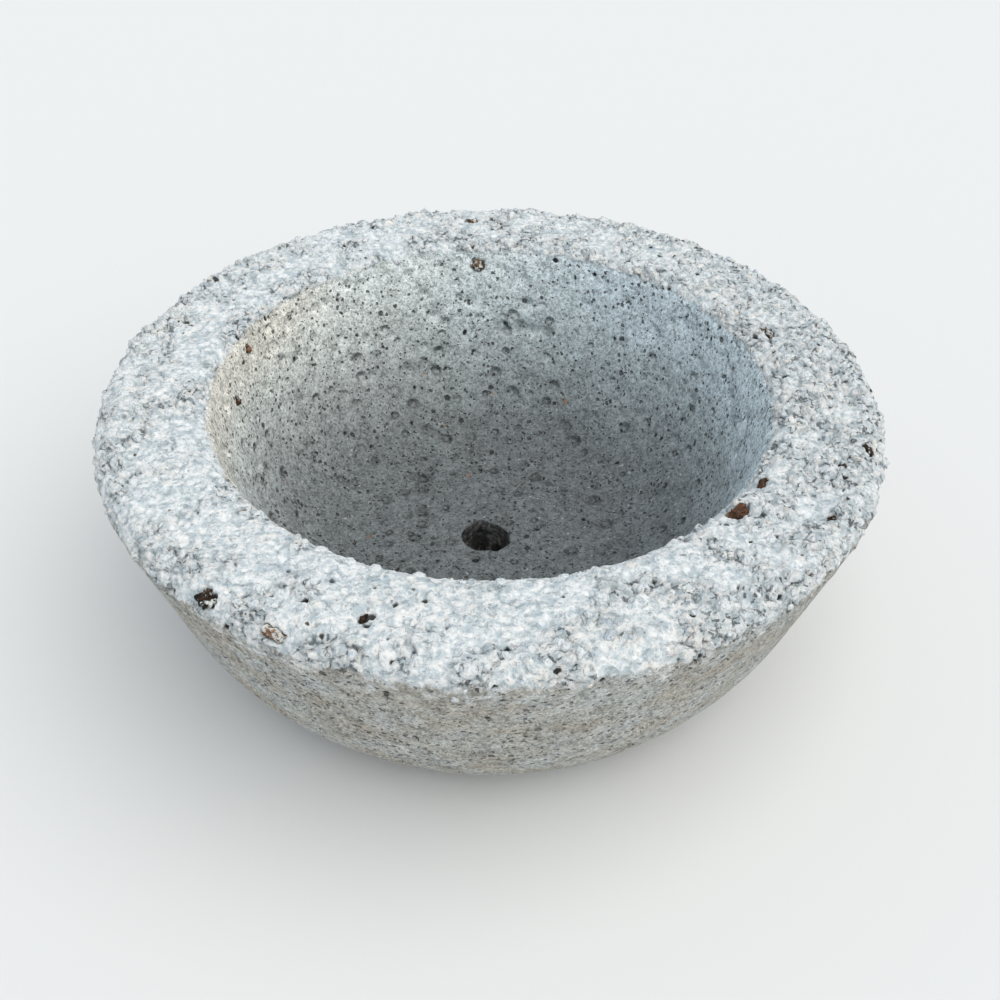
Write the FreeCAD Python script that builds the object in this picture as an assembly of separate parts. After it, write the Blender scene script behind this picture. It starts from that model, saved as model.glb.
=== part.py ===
import FreeCAD, Part
import math
import os
import random

from FreeCAD import Placement, Rotation, Vector

# A hypertufa bowl: cement, peat and perlite pressed between two nested bowls, with a drain
# hole through its floor. Bark chips and peat lumps show in its skin, and perlite grains
# stand out of its rim. Millimetres, +Z up, origin on the ground at the bowl's axis.

# Outside, from the ground up. Widths are across a corner before its edge is rounded.
height = 112.0
foot_width = 216.0
foot_rounding = 46.5
belly_width = 266.5
belly_height = 39.0
belly_rounding = 116.0
rim_width = 311.5
rim_rounding = 9.5

# Inside, from the rim down.
mouth_width = 221.5
lip_rounding = 10.5
floor_width = 172.0
floor_rounding = 55.0
floor_thickness = 29.5

# Drain hole, pressed through a little to one side of the axis.
drain_diameter = 21.0
drain_offset = 2.2

# Perlite grains that stand out of the rim, from part way round its outer edge to part way
# round its lip. Sizes are radii. Sunk is the share of its radius that a grain's middle lies
# below the skin.
grain_places = 620
grain_smallest = 1.5
grain_largest = 3.1
grain_sunk = 0.55
grain_clearance = 0.8
grain_edge_start = 0.35
grain_lip_end = 0.70
grain_seed = 8

# Bark chips and peat lumps that show in the skin. Azimuth is in degrees from +X, and share
# is how far along its stretch of the outline the piece sits. Turn is the angle between the
# piece's length and the rim's run, and proud is how far it stands out of the skin.
inclusions = [
    dict(name="bark_chip_right_lip", stretch="lip", share=0.10, azimuth=-42.6,
         length=11.0, width=5.0, depth=5.0, proud=1.2, turn=24),
    dict(name="bark_sliver_right_lip", stretch="lip", share=0.22, azimuth=-33.0,
         length=9.0, width=3.2, depth=4.0, proud=0.9, turn=15),
    dict(name="bark_flake_front_left", stretch="rim_edge", share=0.52, azimuth=-116.2,
         length=9.5, width=4.2, depth=4.0, proud=1.0, turn=-8),
    dict(name="bark_splinter_back_rim", stretch="rim_top", share=0.32, azimuth=93.8,
         length=8.0, width=2.6, depth=4.0, proud=0.6, turn=-12),
    dict(name="bark_sliver_right_back", stretch="rim_top", share=0.86, azimuth=17.6,
         length=10.0, width=3.4, depth=4.0, proud=0.8, turn=28),
    dict(name="bark_fleck_left_wall", stretch="inside_wall", share=0.06, azimuth=160.7,
         length=4.6, width=2.6, depth=3.4, proud=0.6, turn=80),
    dict(name="bark_fleck_left_middle", stretch="inside_wall", share=0.35, azimuth=173.1,
         length=4.2, width=2.6, depth=3.4, proud=0.6, turn=75),
    dict(name="peat_lump_front_left", stretch="rim_edge", share=0.55, azimuth=-127.3,
         length=9.0, width=8.0, depth=7.0, proud=1.8, turn=40),
    dict(name="peat_lump_back_wall", stretch="inside_wall", share=0.04, azimuth=93.4,
         length=8.5, width=6.0, depth=6.0, proud=1.8, turn=10),
    dict(name="peat_lump_right_rim", stretch="rim_top", share=0.20, azimuth=-22.8,
         length=5.2, width=3.8, depth=4.5, proud=0.8, turn=70),
    dict(name="peat_lump_right_edge", stretch="rim_edge", share=0.82, azimuth=-17.0,
         length=6.0, width=4.4, depth=4.8, proud=1.0, turn=60),
    dict(name="peat_crumb_right_front", stretch="rim_edge", share=0.95, azimuth=-35.0,
         length=4.4, width=4.2, depth=4.4, proud=1.0, turn=0),
    dict(name="peat_crumb_front_rim", stretch="rim_top", share=0.24, azimuth=-106.5,
         length=4.2, width=2.6, depth=4.0, proud=0.7, turn=85),
]

# A chip or lump is an uneven many-sided nugget. Its waist, the widest ring, lies this share of
# its depth below the skin, and its two ends are this share of the waist's size.
nugget_sides = 7
nugget_unevenness = 0.22
nugget_waist = 0.25
nugget_end = 0.60

# Hollows left where a flake came away or air was trapped, each the mark of a ball pressed into
# the skin. Width is across a hollow's mouth.
hollows = [
    dict(stretch="inside_wall", share=0.87, azimuth=86.5, width=8.5, depth=1.9),
    dict(stretch="inside_wall", share=0.84, azimuth=82.0, width=8.5, depth=2.2),
    dict(stretch="inside_wall", share=0.87, azimuth=78.5, width=6.5, depth=1.8),
    dict(stretch="inside_wall", share=0.65, azimuth=105.2, width=5.5, depth=1.6),
    dict(stretch="inside_wall", share=0.10, azimuth=137.0, width=5.0, depth=1.6),
    dict(stretch="inside_wall", share=0.10, azimuth=133.8, width=4.5, depth=1.5),
    dict(stretch="floor_edge", share=0.02, azimuth=149.9, width=6.5, depth=1.4),
    dict(stretch="floor_edge", share=0.54, azimuth=63.1, width=9.5, depth=1.9),
    dict(stretch="floor_edge", share=0.74, azimuth=82.0, width=9.0, depth=1.5),
    dict(stretch="floor_edge", share=0.78, azimuth=75.5, width=9.0, depth=1.5),
    dict(stretch="floor_edge", share=0.16, azimuth=114.0, width=5.0, depth=1.2),
    dict(stretch="floor", share=0.26, azimuth=-140.0, width=4.0, depth=1.8),
    dict(stretch="lip", share=0.22, azimuth=159.2, width=4.5, depth=1.8),
    dict(stretch="rim_top", share=0.22, azimuth=-159.3, width=5.0, depth=1.5),
    dict(stretch="rim_top", share=0.64, azimuth=-153.3, width=3.6, depth=1.4),
    dict(stretch="rim_top", share=0.40, azimuth=-147.5, width=4.6, depth=1.4),
    dict(stretch="rim_top", share=0.16, azimuth=-61.4, width=6.0, depth=1.6),
    dict(stretch="rim_top", share=0.05, azimuth=-56.0, width=5.0, depth=1.5),
    dict(stretch="rim_top", share=0.35, azimuth=-10.9, width=5.0, depth=1.6),
    dict(stretch="rim_top", share=0.72, azimuth=-4.1, width=4.5, depth=1.5),
    dict(stretch="rim_top", share=0.30, azimuth=3.0, width=5.0, depth=1.5),
]

# Smaller hollows are scattered over these stretches, this many on each. Depth is a share of width.
hollow_counts = dict(lower_wall=12, belly=52, outer_wall=42, inside_wall=72, floor_edge=72)
hollow_narrowest = 3.4
hollow_widest = 7.6
hollow_depth = 0.24
hollow_clearance = 1.0
hollow_seed = 21

# A cutter runs this far past the faces that it cuts.
overshoot = 5.0

# A step that never repeats, for uneven sides.
golden_step = 0.618034


def corner(width, level):
    return Vector(width / 2, 0, level)


def rounded_corner(before, place, after, radius):
    back = (before - place).normalize()
    onward = (after - place).normalize()
    half_angle = back.getAngle(onward) / 2
    reach = radius / math.tan(half_angle)
    gap = radius / math.sin(half_angle) - radius
    middle = place + (back + onward).normalize() * gap
    return place + back * reach, middle, place + onward * reach


# The outline runs from the axis along the ground, up the outside, over the rim and down the
# inside to the axis again. Each straight and each round stretch keeps a name.
def outline():
    corners = [
        ("heel", corner(foot_width, 0), foot_rounding),
        ("belly", corner(belly_width, belly_height), belly_rounding),
        ("rim_edge", corner(rim_width, height), rim_rounding),
        ("lip", corner(mouth_width, height), lip_rounding),
        ("floor_edge", corner(floor_width, floor_thickness), floor_rounding),
    ]
    straights = ["foot", "lower_wall", "outer_wall", "rim_top", "inside_wall", "floor"]
    ground = Vector(0, 0, 0)
    floor_middle = Vector(0, 0, floor_thickness)
    places = [ground] + [place for _, place, _ in corners] + [floor_middle]
    stretches = {}
    last = ground
    for index, (name, place, radius) in enumerate(corners):
        start, middle, end = rounded_corner(places[index], place, places[index + 2], radius)
        stretches[straights[index]] = Part.LineSegment(last, start).toShape()
        stretches[name] = Part.Arc(start, middle, end).toShape()
        last = end
    stretches[straights[-1]] = Part.LineSegment(last, floor_middle).toShape()
    return stretches


def plain_bowl(stretches):
    closing = Part.LineSegment(Vector(0, 0, floor_thickness), Vector(0, 0, 0)).toShape()
    section = Part.Face(Part.Wire(list(stretches.values()) + [closing]))
    solid = section.revolve(Vector(0, 0, 0), Vector(0, 0, 1), 360)
    drain_foot = Vector(-drain_offset, 0, -overshoot)
    drain = Part.makeCylinder(drain_diameter / 2, floor_thickness + 2 * overshoot, drain_foot)
    return solid.cut(drain)


# A place on the skin: X along the rim's run, Z straight out of the skin.
def seat(stretch, share, azimuth, turn=0):
    first, last = stretch.ParameterRange
    at = first + (last - first) * share
    run = stretch.tangentAt(at)
    outward = Vector(run.z, 0, -run.x)
    onto_skin = Placement(stretch.valueAt(at), Rotation(Vector(0, 1, 0), Vector(), outward, "ZXY"))
    swing = Placement(Vector(), Rotation(Vector(0, 0, 1), azimuth))
    spin = Placement(Vector(), Rotation(Vector(0, 0, 1), turn))
    return swing * onto_skin * spin


def nugget(length, width, depth, proud, phase):
    rings = []
    for level, spread in ((proud - depth, nugget_end), (-nugget_waist * depth, 1), (proud, nugget_end)):
        ring = []
        for side in range(nugget_sides):
            angle = 2 * math.pi * side / nugget_sides
            dent = 1 - nugget_unevenness * ((side * golden_step + phase) % 1)
            across = Vector(math.cos(angle) * length / 2, math.sin(angle) * width / 2, 0)
            ring.append(across * (dent * spread) + Vector(0, 0, level))
        rings.append(Part.makePolygon(ring + ring[:1]))
    return Part.makeLoft(rings, True, True)


def inclusion_solids(stretches):
    solids = {}
    for index, item in enumerate(inclusions):
        place = seat(stretches[item["stretch"]], item["share"], item["azimuth"], item["turn"])
        solid = nugget(item["length"], item["width"], item["depth"], item["proud"], index * golden_step)
        solid.Placement = place
        solids[item["name"]] = solid
    return solids


def all_hollows():
    scatter = random.Random(hollow_seed)
    places = list(hollows)
    for stretch, count in hollow_counts.items():
        for _ in range(count):
            share = scatter.uniform(0, 1)
            azimuth = scatter.uniform(0, 360)
            width = scatter.uniform(hollow_narrowest, hollow_widest)
            depth = width * hollow_depth
            places.append(dict(stretch=stretch, share=share, azimuth=azimuth, width=width, depth=depth))
    return places


# A hollow too close to an inclusion is left out.
def hollow_balls(stretches, keep_clear):
    balls = []
    mouths = []
    for item in all_hollows():
        place = seat(stretches[item["stretch"]], item["share"], item["azimuth"])
        room = min((place.Base - other).Length - reach for other, reach in keep_clear)
        if room < item["width"] / 2 + hollow_clearance:
            continue
        radius = item["width"] ** 2 / (8 * item["depth"]) + item["depth"] / 2
        ball = Part.makeSphere(radius)
        ball.Placement = place * Placement(Vector(0, 0, radius - item["depth"]), Rotation())
        balls.append(ball)
        mouths.append((place.Base, item["width"] / 2))
    return balls, mouths


# Grains are scattered over the rim's outer edge, top and lip. A place too close to an inclusion
# or to an earlier grain stays empty.
def grain_solids(stretches, keep_clear):
    band = [stretches["rim_edge"], stretches["rim_top"], stretches["lip"]]
    band_start = band[0].Length * grain_edge_start
    band_end = band[0].Length + band[1].Length + band[2].Length * grain_lip_end
    scatter = random.Random(grain_seed)
    taken = list(keep_clear)
    grains = []
    for _ in range(grain_places):
        azimuth = scatter.uniform(0, 360)
        along = scatter.uniform(band_start, band_end)
        radius = scatter.uniform(grain_smallest, grain_largest)
        for stretch in band:
            if along <= stretch.Length:
                break
            along -= stretch.Length
        sunk = Placement(Vector(0, 0, -grain_sunk * radius), Rotation())
        place = seat(stretch, along / stretch.Length, azimuth) * sunk
        room = min((place.Base - other).Length - reach for other, reach in taken)
        if room < radius + grain_clearance:
            continue
        taken.append((place.Base, radius))
        grain = Part.makeSphere(radius)
        grain.Placement = place
        grains.append(grain)
    return grains


stretches = outline()
chips = inclusion_solids(stretches)
chip_reach = [(chip.CenterOfMass, chip.BoundBox.DiagonalLength / 2) for chip in chips.values()]
balls, mouths = hollow_balls(stretches, chip_reach)
grains = grain_solids(stretches, chip_reach + mouths)
bowl = plain_bowl(stretches).cut(balls).cut(list(chips.values()) + grains)

os.makedirs("parts", exist_ok=True)
bowl.exportStep("parts/bowl.step")
Part.makeCompound(grains).exportStep("parts/perlite_grains.step")
for name, chip in chips.items():
    chip.exportStep(f"parts/{name}.step")

print("bowl", len(bowl.Solids), "solid,", round(bowl.Volume / 1e6, 3), "litres, valid", bowl.isValid())
print("grains", len(grains), "hollows", len(balls))
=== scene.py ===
import bpy
import math
import random
import numpy as np
from mathutils import Euler, Matrix, Vector, noise
from mathutils.kdtree import KDTree


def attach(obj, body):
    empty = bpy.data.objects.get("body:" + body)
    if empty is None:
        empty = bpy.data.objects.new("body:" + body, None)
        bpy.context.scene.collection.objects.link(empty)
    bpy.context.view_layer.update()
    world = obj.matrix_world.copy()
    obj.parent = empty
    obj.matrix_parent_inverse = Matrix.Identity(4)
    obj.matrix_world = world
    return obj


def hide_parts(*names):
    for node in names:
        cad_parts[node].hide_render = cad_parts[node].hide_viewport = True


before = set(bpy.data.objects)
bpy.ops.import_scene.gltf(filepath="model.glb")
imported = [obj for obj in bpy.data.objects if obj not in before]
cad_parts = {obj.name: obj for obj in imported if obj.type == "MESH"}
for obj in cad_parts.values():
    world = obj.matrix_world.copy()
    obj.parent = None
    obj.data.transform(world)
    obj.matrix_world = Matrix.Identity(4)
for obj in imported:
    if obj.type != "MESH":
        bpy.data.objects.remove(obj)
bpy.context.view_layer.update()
noise.seed_set(11)      # without it noise vectors follow the clock
print("frame loaded:", len(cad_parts), "nodes")


# helpers

def deselectAll():
    if bpy.context.mode != "OBJECT":
        bpy.ops.object.mode_set(mode="OBJECT")
    bpy.ops.object.select_all(action="DESELECT")


def pickOnly(piece):
    deselectAll()
    piece.select_set(True)
    bpy.context.view_layer.objects.active = piece


def addModifier(piece, kind, **settings):
    pickOnly(piece)
    modifier = piece.modifiers.new(kind.lower(), kind)
    for key, value in settings.items():
        setattr(modifier, key, value)
    bpy.ops.object.modifier_apply(modifier=modifier.name)


# on the active piece: doubled points become one, faces point outwards
def mergeAndFaceOut(doubles=1e-6):
    bpy.ops.object.mode_set(mode="EDIT")
    bpy.ops.mesh.select_all(action="SELECT")
    if doubles:
        bpy.ops.mesh.remove_doubles(threshold=doubles)
    bpy.ops.mesh.normals_make_consistent(inside=False)
    bpy.ops.object.mode_set(mode="OBJECT")


def meshPoints(piece):
    points = np.empty(len(piece.data.vertices) * 3)
    piece.data.vertices.foreach_get("co", points)
    return points.reshape(-1, 3)


def meshNormals(piece):
    normals = np.empty(len(piece.data.vertices) * 3)
    piece.data.vertex_normals.foreach_get("vector", normals)
    return normals.reshape(-1, 3)


def setAttribute(piece, name, values):
    attribute = piece.data.attributes.new(name, "FLOAT", "POINT")
    attribute.data.foreach_set("value", np.ascontiguousarray(values, dtype=np.float32))


def attributeOf(piece, name):
    values = np.empty(len(piece.data.vertices), dtype=np.float32)
    piece.data.attributes[name].data.foreach_get("value", values)
    return values


def smoothStep(low, sunAndShadeSides, value):
    share = np.clip((value - low) / (sunAndShadeSides - low), 0, 1)
    return share * share * (3 - 2 * share)


# camera

cameraSet = dict(
    place=(0.0, -0.3931, 0.3800),
    down=40.0,      # degrees below level
    right=0.64,
    roll=0.73,
    lens=43.2,
    sensor=36.0,
    nearest=0.01,
)


def addCamera(s):
    bpy.ops.object.camera_add(location=s["place"])
    camera = bpy.context.object
    aim = Euler((math.radians(90 - s["down"]), 0, math.radians(-s["right"]))).to_matrix()
    camera.rotation_euler = (aim @ Matrix.Rotation(math.radians(s["roll"]), 3, "Z")).to_euler()
    camera.data.lens = s["lens"]
    camera.data.sensor_width = s["sensor"]
    camera.data.clip_start = s["nearest"]
    bpy.context.scene.camera = camera
    print("camera set")


deselectAll()
addCamera(cameraSet)


# bowl: one casting, its outline turned round the axis and then roughened

bowlSet = dict(
    height=0.112,
    footWidth=0.216, footRounding=0.0465,
    bellyWidth=0.2665, bellyHeight=0.039, bellyRounding=0.116,
    rimWidth=0.3115, rimRounding=0.0095,
    mouthWidth=0.2215, lipRounding=0.0105,
    floorWidth=0.172, floorRounding=0.055, floorLevel=0.0295,
    drainWidth=0.021, drainOffset=0.0022, drainRounding=0.0012,
    drainCorners=[      # azimuth in degrees, reach
        (5, 1.03), (52, 0.90), (100, 1.06), (140, 1.00), (180, 1.00), (235, 1.02), (300, 1.03), (335, 1.07),
    ],
    drainBlend=0.020,      # beyond this radius the floor is turned true
    underRim=0.32,      # share of the rim's crust at the top of the outer wall
    wobble=0.0012, wobbleSize=0.06,
    turns=1100,
    triangles=194000,
    spacing=dict(foot=0.006, heel=0.0016, lowerWall=0.0014, belly=0.0014, outerWall=0.0012, rimEdge=0.0006,
                 rimTop=0.0006, lip=0.0006, insideWall=0.0009, floorEdge=0.0009, floor=0.0009,
                 drainTop=0.0005, drain=0.001, drainFoot=0.0005),
)


def roundedCorner(before, place, after, radius, spacing):
    back = (before - place).normalized()
    onward = (after - place).normalized()
    halfAngle = back.angle(onward) / 2
    reach = radius / math.tan(halfAngle)
    middle = place + (back + onward).normalized() * (radius / math.sin(halfAngle))
    first = place + back * reach - middle
    last = place + onward * reach - middle
    sweep = math.pi - 2 * halfAngle
    count = max(3, round(radius * sweep / spacing))
    points = []
    for step in range(count + 1):
        share = step / count
        turned = first * math.sin((1 - share) * sweep) + last * math.sin(share * sweep)
        points.append(middle + turned / math.sin(sweep))
    return points


def bowlOutline(s):
    def corner(width, level):
        return Vector((width / 2, 0, level))
    corners = [
        ("heel", corner(s["footWidth"], 0), s["footRounding"]),
        ("belly", corner(s["bellyWidth"], s["bellyHeight"]), s["bellyRounding"]),
        ("rimEdge", corner(s["rimWidth"], s["height"]), s["rimRounding"]),
        ("lip", corner(s["mouthWidth"], s["height"]), s["lipRounding"]),
        ("floorEdge", corner(s["floorWidth"], s["floorLevel"]), s["floorRounding"]),
        ("drainTop", corner(s["drainWidth"], s["floorLevel"]), s["drainRounding"]),
        ("drainFoot", corner(s["drainWidth"], 0), s["drainRounding"]),
    ]
    straights = ["foot", "lowerWall", "outerWall", "rimTop", "insideWall", "floor", "drain"]
    arcs = []
    for index, (name, place, radius) in enumerate(corners):
        before = corners[index - 1][1]
        after = corners[(index + 1) % len(corners)][1]
        arcs.append(roundedCorner(before, place, after, radius, s["spacing"][name]))
    outline = []
    for index, (name, place, radius) in enumerate(corners):
        start = arcs[index - 1][-1]
        end = arcs[index][0]
        stretch = straights[index]
        count = max(1, round((end - start).length / s["spacing"][stretch]))
        for step in range(1, count):
            outline.append((stretch, start.lerp(end, step / count)))
        for point in arcs[index]:
            outline.append((name, point))
    return outline


def turnBowl(s):
    outline = bowlOutline(s)
    deselectAll()
    bpy.ops.mesh.primitive_circle_add(vertices=len(outline), radius=s["rimWidth"] / 2)
    bowl = bpy.context.object
    bowl.name = "castBowl"
    for vertex, (stretch, point) in zip(bowl.data.vertices, outline):
        vertex.co = point
    addModifier(bowl, "SCREW", angle=2 * math.pi, axis="Z", steps=s["turns"], render_steps=s["turns"])
    mergeAndFaceOut()
    bpy.ops.object.shade_smooth()
    print("bowl turned:", len(bowl.data.polygons), "faces")
    return bowl, outline


# the drain hole is cornered and off the axis, and the floor round it follows
def pushDrain(bowl, s):
    points = meshPoints(bowl)
    radius = np.hypot(points[:, 0], points[:, 1])
    azimuth = np.degrees(np.arctan2(points[:, 1], points[:, 0])) % 360
    corners = s["drainCorners"]
    angles = [angle for angle, reach in corners]
    x = [reach * math.cos(math.radians(angle)) for angle, reach in corners]
    y = [reach * math.sin(math.radians(angle)) for angle, reach in corners]
    edge = np.hypot(np.interp(azimuth, angles, x, period=360), np.interp(azimuth, angles, y, period=360))
    share = 1 - smoothStep(s["drainWidth"] / 2, s["drainBlend"], radius)
    points[:, 0] *= 1 + (edge - 1) * share
    points[:, 1] *= 1 + (edge - 1) * share
    points[:, 0] -= s["drainOffset"] * share
    bowl.data.vertices.foreach_set("co", points.ravel())
    bowl.data.update()
    print("drain shaped")


# relief: crumbs and pressed lumps raise the rim, pores, hollows and scars sink the skin

rimBand = ("rimEdge", "rimTop", "lip")
insideBand = ("insideWall", "floorEdge", "floor")
outsideBand = ("outerWall", "belly", "lowerWall", "heel")

reliefSet = dict(
    seed=11,
    warp=0.0010, warpScale=0.0026,      # makes every crumb and pore uneven
    patchSize=0.014, smoothest=0.25,      # smeared patches keep this share of the relief
    patchBase=0.05, patchEdges=(-0.25, 0.35),      # smeared below the first edge, rough above the second
    roughSides=[      # azimuth in degrees, how much rougher the skin is there
        (-170, -0.12), (-110, -0.34), (-60, -0.10), (-10, 0.30), (45, 0.15), (95, -0.05), (150, -0.08),
    ],
    roughEdges=dict(rimEdge=0.30, lip=0.12),
    paste=[(0.0080, 0.0012), (0.0030, 0.0006)],      # size and height of the rim's ridges
    pasteNoise=(0.7, 2.1, 3),      # fall-off, step and count of a ridge's finer layers
    lumps=dict(count=1700, rise=0.0012, gap=0.0012, depth=0.0012),      # pressed lumps, with gaps between
    boreLump=0.0022, boreSize=0.0055,      # the drain hole's wall is lumpy
    chipGap=0.0011, chipSink=0.0012, chipEdge=0.8,      # the skin sinks round every chip, and the gap is painted dark as painted shade
    rimStart=0.05, rimFull=0.7,      # where the rim's relief begins and is whole, as shares of the rim zone
    least=0.02,      # less of a zone than this is left alone
    softenRounds=5,      # a place below its softened surroundings is painted darker, as painted shade
    fullHollow=0.001, fullPore=0.0011, fullDent=0.0046,      # depths at which each is painted darkest, as painted shade
    crumbs=[      # places, smallest and largest radius, share of radius that it rises
        dict(count=500, small=0.0013, large=0.0028, rise=(0.35, 0.65), on=rimBand),
        dict(count=450, small=0.0015, large=0.0028, rise=(0.40, 0.75), on=("rimEdge", "lip")),
    ],
    pores=[      # as crumbs, but sunk
        dict(count=380, small=0.0007, large=0.0014, sink=(0.8, 1.5), on=rimBand),
        dict(count=520, small=0.0006, large=0.0013, sink=(0.7, 1.2), on=insideBand),
        dict(count=900, small=0.0007, large=0.0017, sink=(0.6, 1.1), on=outsideBand),
    ],
    scars=[      # thin torn lines: azimuth in degrees, radius, level, length, width, turn in degrees, depth
        dict(azimuth=114.0, radius=0.0930, level=0.0600, length=0.0110, width=0.0026, turn=25, depth=0.0013),
        dict(azimuth=122.0, radius=0.0910, level=0.0560, length=0.0090, width=0.0026, turn=95, depth=0.0012),
        dict(azimuth=60.0, radius=0.0130, level=0.0295, length=0.0080, width=0.0018, turn=60, depth=0.0014),
        dict(azimuth=-92.0, radius=0.0118, level=0.0295, length=0.0040, width=0.0014, turn=90, depth=0.0014),
        dict(azimuth=95.0, radius=0.0720, level=0.0370, length=0.0120, width=0.0030, turn=10, depth=0.0012),
        dict(azimuth=40.0, radius=0.0900, level=0.0560, length=0.0100, width=0.0026, turn=-20, depth=0.0012),
    ],
)

# hollows, at the same places as in the CAD bowl: stretch, share of it, azimuth in degrees, width, depth
hollowSet = dict(
    places=[
        ("insideWall", 0.87, 86.5, 0.0085, 0.0019), ("insideWall", 0.84, 82.0, 0.0085, 0.0022),
        ("insideWall", 0.87, 78.5, 0.0065, 0.0018), ("insideWall", 0.65, 105.2, 0.0055, 0.0016),
        ("insideWall", 0.10, 137.0, 0.0050, 0.0016), ("insideWall", 0.10, 133.8, 0.0045, 0.0015),
        ("floorEdge", 0.02, 149.9, 0.0065, 0.0014), ("floorEdge", 0.54, 63.1, 0.0095, 0.0019),
        ("floorEdge", 0.74, 82.0, 0.0090, 0.0015), ("floorEdge", 0.78, 75.5, 0.0090, 0.0015),
        ("floorEdge", 0.16, 114.0, 0.0050, 0.0012), ("floor", 0.26, -140.0, 0.0040, 0.0018),
        ("lip", 0.22, 159.2, 0.0045, 0.0018), ("rimTop", 0.22, -159.3, 0.0050, 0.0015),
        ("rimTop", 0.64, -153.3, 0.0036, 0.0014), ("rimTop", 0.40, -147.5, 0.0046, 0.0014),
        ("rimTop", 0.16, -61.4, 0.0060, 0.0016), ("rimTop", 0.05, -56.0, 0.0050, 0.0015),
        ("rimTop", 0.35, -10.9, 0.0050, 0.0016), ("rimTop", 0.72, -4.1, 0.0045, 0.0015),
        ("rimTop", 0.30, 3.0, 0.0050, 0.0015),
    ],
    counts=dict(lowerWall=12, belly=52, outerWall=42, insideWall=72, floorEdge=72),
    narrowest=0.0034, widest=0.0076, depth=0.24,      # depth is a share of the width
    lean=0.5, steepness=0.75,
    seed=21,
)


def outwardAt(azimuth):
    return Vector((math.cos(azimuth), math.sin(azimuth), 0))


def upperSide(outward):
    return (outward + Vector((0, 0, 1))).normalized()


def scatterOnSkin(outline, stretches, count, dice):
    picks = []
    areas = []
    for index, (stretch, point) in enumerate(outline):
        if stretch in stretches:
            before = outline[index - 1][1]
            after = outline[(index + 1) % len(outline)][1]
            picks.append(point)
            areas.append(point.x * (after - before).length)
    places = []
    for point in dice.choices(picks, areas, k=count):
        azimuth = dice.uniform(-math.pi, math.pi)
        places.append(Vector((point.x * math.cos(azimuth), point.x * math.sin(azimuth), point.z)))
    return places


def smallMoreOften(small, large, dice):
    return small + (large - small) * dice.random() ** 2


def treeOf(places):
    tree = KDTree(len(places))
    for index, place in enumerate(places):
        tree.insert(place, index)
    tree.balance()
    return tree


def warped(point, s):
    place = Vector(point)
    return place + noise.noise_vector(place / s["warpScale"]) * s["warp"]


def raiseCrumbs(outline, tree, count, s, dice):
    height = np.zeros(count)
    tint = np.full(count, 0.5)
    for kind in s["crumbs"]:
        for place in scatterOnSkin(outline, kind["on"], kind["count"], dice):
            radius = smallMoreOften(kind["small"], kind["large"], dice)
            rise = radius * dice.uniform(*kind["rise"])
            tone = dice.random()
            for found, index, distance in tree.find_range(place, radius):
                here = rise * math.sqrt(1 - (distance / radius) ** 2)
                if here > height[index]:
                    height[index] = here
                    tint[index] = tone
    return height, tint


def sinkPores(outline, tree, count, s, dice):
    depth = np.zeros(count)
    for kind in s["pores"]:
        for place in scatterOnSkin(outline, kind["on"], kind["count"], dice):
            radius = smallMoreOften(kind["small"], kind["large"], dice)
            sink = radius * dice.uniform(*kind["sink"])
            for found, index, distance in tree.find_range(place, radius):
                depth[index] = max(depth[index], sink * math.sqrt(1 - (distance / radius) ** 2))
    return depth


def allHollows(s):
    dice = random.Random(s["seed"])
    places = list(s["places"])
    for stretch, count in s["counts"].items():
        for _ in range(count):
            share = dice.uniform(0, 1)
            azimuth = dice.uniform(0, 360)
            width = dice.uniform(s["narrowest"], s["widest"])
            places.append((stretch, share, azimuth, width, width * s["depth"]))
    return places


# a hollow is deepest along its upper edge
def sinkHollows(outline, tree, count, s):
    depth = np.zeros(count)
    for stretch, share, azimuth, width, sink in allHollows(s):
        run = [point for name, point in outline if name == stretch]
        point = run[round(share * (len(run) - 1))]
        outward = outwardAt(math.radians(azimuth))
        place = outward * point.x + Vector((0, 0, point.z))
        upper = upperSide(outward)
        for found, index, distance in tree.find_range(place, width / 2):
            lean = 1 + s["lean"] * (found - place).dot(upper) / width * 2
            dish = (1 - (distance / width * 2) ** 2) ** s["steepness"]
            depth[index] = max(depth[index], sink * lean * dish)
    return depth


def sinkScars(count, tree, s):
    depth = np.zeros(count)
    for scar in s["scars"]:
        outward = outwardAt(math.radians(scar["azimuth"]))
        place = outward * scar["radius"] + Vector((0, 0, scar["level"]))
        along = Vector((-outward.y, outward.x, 0))
        upper = upperSide(outward)
        turn = math.radians(scar["turn"])
        lengthways = along * math.cos(turn) + upper * math.sin(turn)
        sideways = upper * math.cos(turn) - along * math.sin(turn)
        for found, index, distance in tree.find_range(place, scar["length"]):
            off = (found - place) * 2
            reach = (off.dot(lengthways) / scar["length"]) ** 2 + (off.dot(sideways) / scar["width"]) ** 2
            if reach < 1:
                depth[index] = max(depth[index], scar["depth"] * math.sqrt(1 - reach))
    return depth


def softened(grid, rounds):
    for _ in range(rounds):
        for axis in (0, 1):
            grid = (np.roll(grid, 1, axis) + 2 * grid + np.roll(grid, -1, axis)) / 4
    return grid


# the rim is smeared in patches and along the front, and roughest on the right and at its edges
def patchiness(points, outline, s):
    rough = np.empty(len(points))
    for index, point in enumerate(points):
        rough[index] = noise.noise(Vector(point) / s["patchSize"])
    azimuth = np.degrees(np.arctan2(points[:, 1], points[:, 0]))
    sides = [side for side, share in s["roughSides"]]
    shares = [share for side, share in s["roughSides"]]
    alongOutline = [s["roughEdges"].get(stretch, 0) for stretch, point in outline]
    edges = np.tile(alongOutline, len(points) // len(outline))
    total = rough + s["patchBase"] + np.interp(azimuth, sides, shares, period=360) + edges
    return s["smoothest"] + (1 - s["smoothest"]) * smoothStep(*s["patchEdges"], total)


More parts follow.
